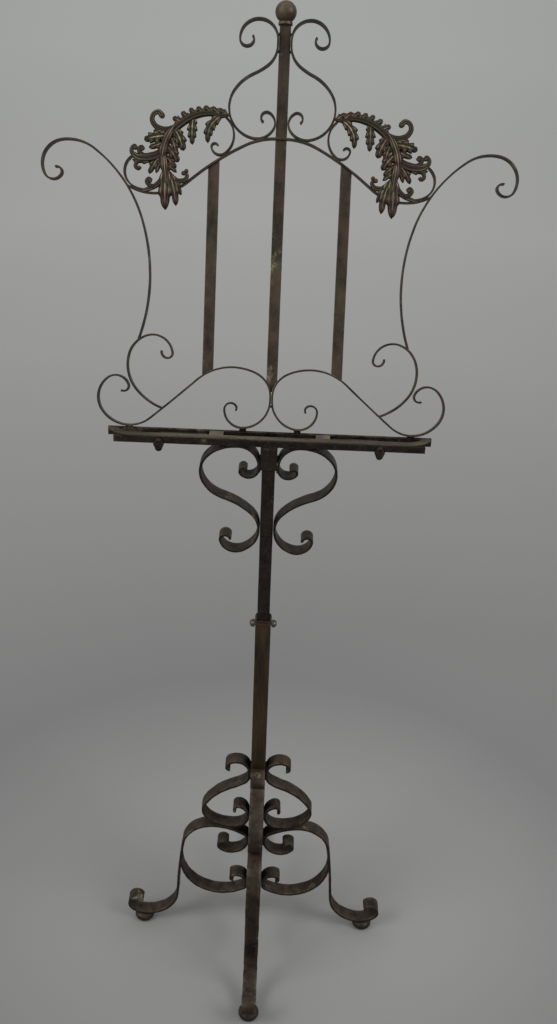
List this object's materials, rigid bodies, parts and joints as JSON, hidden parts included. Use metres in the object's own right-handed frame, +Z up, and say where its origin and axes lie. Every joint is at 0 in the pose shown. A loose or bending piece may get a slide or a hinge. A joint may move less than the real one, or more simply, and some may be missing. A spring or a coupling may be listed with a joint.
{
  "type": "music stand",
  "caption": "Wrought-iron music stand: scrolled legs under a square telescoping post, and a leaning openwork desk with a page ledge, swing-up page holders, leaf sprays and a ball finial.",
  "frame": {"origin": "on the floor under the post's axis, the centre of the bounding box's base", "axes": "+Z up, the player stands on the -Y side and looks along +Y, +X to the player's right; the desk leans back towards +Y"},
  "size_m": [0.678, 0.4717, 1.585],
  "materials": {
    "leg_iron": "dark patinated wrought iron, satin, with brown rubbing on the edges",
    "post_iron": "dark brown patinated square tube and bar, satin, streaked with red-brown",
    "desk_iron": "dark patinated flat strap, satin",
    "ledge_iron": "brown-grey patinated flat bar, rubbed paler on top",
    "leaf_bronze": "dark bronze paint with golden-yellow brushed edges",
    "screw_steel": "bare turned steel"
  },
  "bodies": {
    "base": {"back_foot": "leg_iron", "back_leg_brace": "leg_iron", "back_leg_scroll": "leg_iron", "back_leg_top_scroll": "leg_iron", "front_foot": "leg_iron", "front_leg_brace": "leg_iron", "front_leg_scroll": "leg_iron", "front_leg_top_scroll": "leg_iron", "guide_collar": "post_iron", "left_foot": "leg_iron", "left_leg_brace": "leg_iron", "left_leg_scroll": "leg_iron", "left_leg_top_scroll": "leg_iron", "outer_tube": "post_iron", "right_foot": "leg_iron", "right_leg_brace": "leg_iron", "right_leg_scroll": "leg_iron", "right_leg_top_scroll": "leg_iron", "tube_end_plug": "post_iron"},
    "left_thumbscrew": {"left_thumbscrew": "screw_steel"},
    "right_thumbscrew": {"right_thumbscrew": "screw_steel"},
    "left_page_holder": {"left_holder_lug": "ledge_iron", "left_holder_pin": "ledge_iron", "left_holder_finger": "ledge_iron"},
    "right_page_holder": {"right_holder_lug": "ledge_iron", "right_holder_pin": "ledge_iron", "right_holder_finger": "ledge_iron"},
    "head": {"back_rail": "ledge_iron", "ball_finial": "desk_iron", "centre_bar": "desk_iron", "desk_foot_welds": "desk_iron", "face_bar": "ledge_iron", "front_rail": "ledge_iron", "inner_bar": "post_iron", "ledge_socket": "post_iron", "left_arch_rail": "desk_iron", "left_bottom_scroll": "desk_iron", "left_bracket_scroll": "ledge_iron", "left_cross_strap": "ledge_iron", "left_crown_scroll": "desk_iron", "left_hook_scroll": "desk_iron", "left_inner_tendril": "desk_iron", "left_leaf_spray": "leaf_bronze", "left_outer_tendril": "desk_iron", "left_slat": "desk_iron", "left_wing_bar": "desk_iron", "right_arch_rail": "desk_iron", "right_bottom_scroll": "desk_iron", "right_bracket_scroll": "ledge_iron", "right_cross_strap": "ledge_iron", "right_crown_scroll": "desk_iron", "right_hook_scroll": "desk_iron", "right_inner_tendril": "desk_iron", "right_leaf_spray": "leaf_bronze", "right_outer_tendril": "desk_iron", "right_slat": "desk_iron", "right_wing_bar": "desk_iron"}
  },
  "joints": [
    {"name": "head_slide", "type": "slide", "parent": "base", "child": "head", "axis": [0, 0, 1], "range_m": [-0.115, 0.22]},
    {"name": "left_thumbscrew_turn", "type": "hinge", "parent": "base", "child": "left_thumbscrew", "pos_m": [-0.0125, 0, 0.689], "axis": [1, 0, 0], "range_deg": [0, 360]},
    {"name": "right_thumbscrew_turn", "type": "hinge", "parent": "base", "child": "right_thumbscrew", "pos_m": [0.0125, 0, 0.689], "axis": [1, 0, 0], "range_deg": [0, 360]},
    {"name": "left_page_holder_swing", "type": "hinge", "parent": "head", "child": "left_page_holder", "pos_m": [-0.161, 0, 1.015], "axis": [0, -1, 0], "range_deg": [0, 95]},
    {"name": "right_page_holder_swing", "type": "hinge", "parent": "head", "child": "right_page_holder", "pos_m": [0.161, 0, 1.015], "axis": [0, 1, 0], "range_deg": [0, 95]}
  ]
}
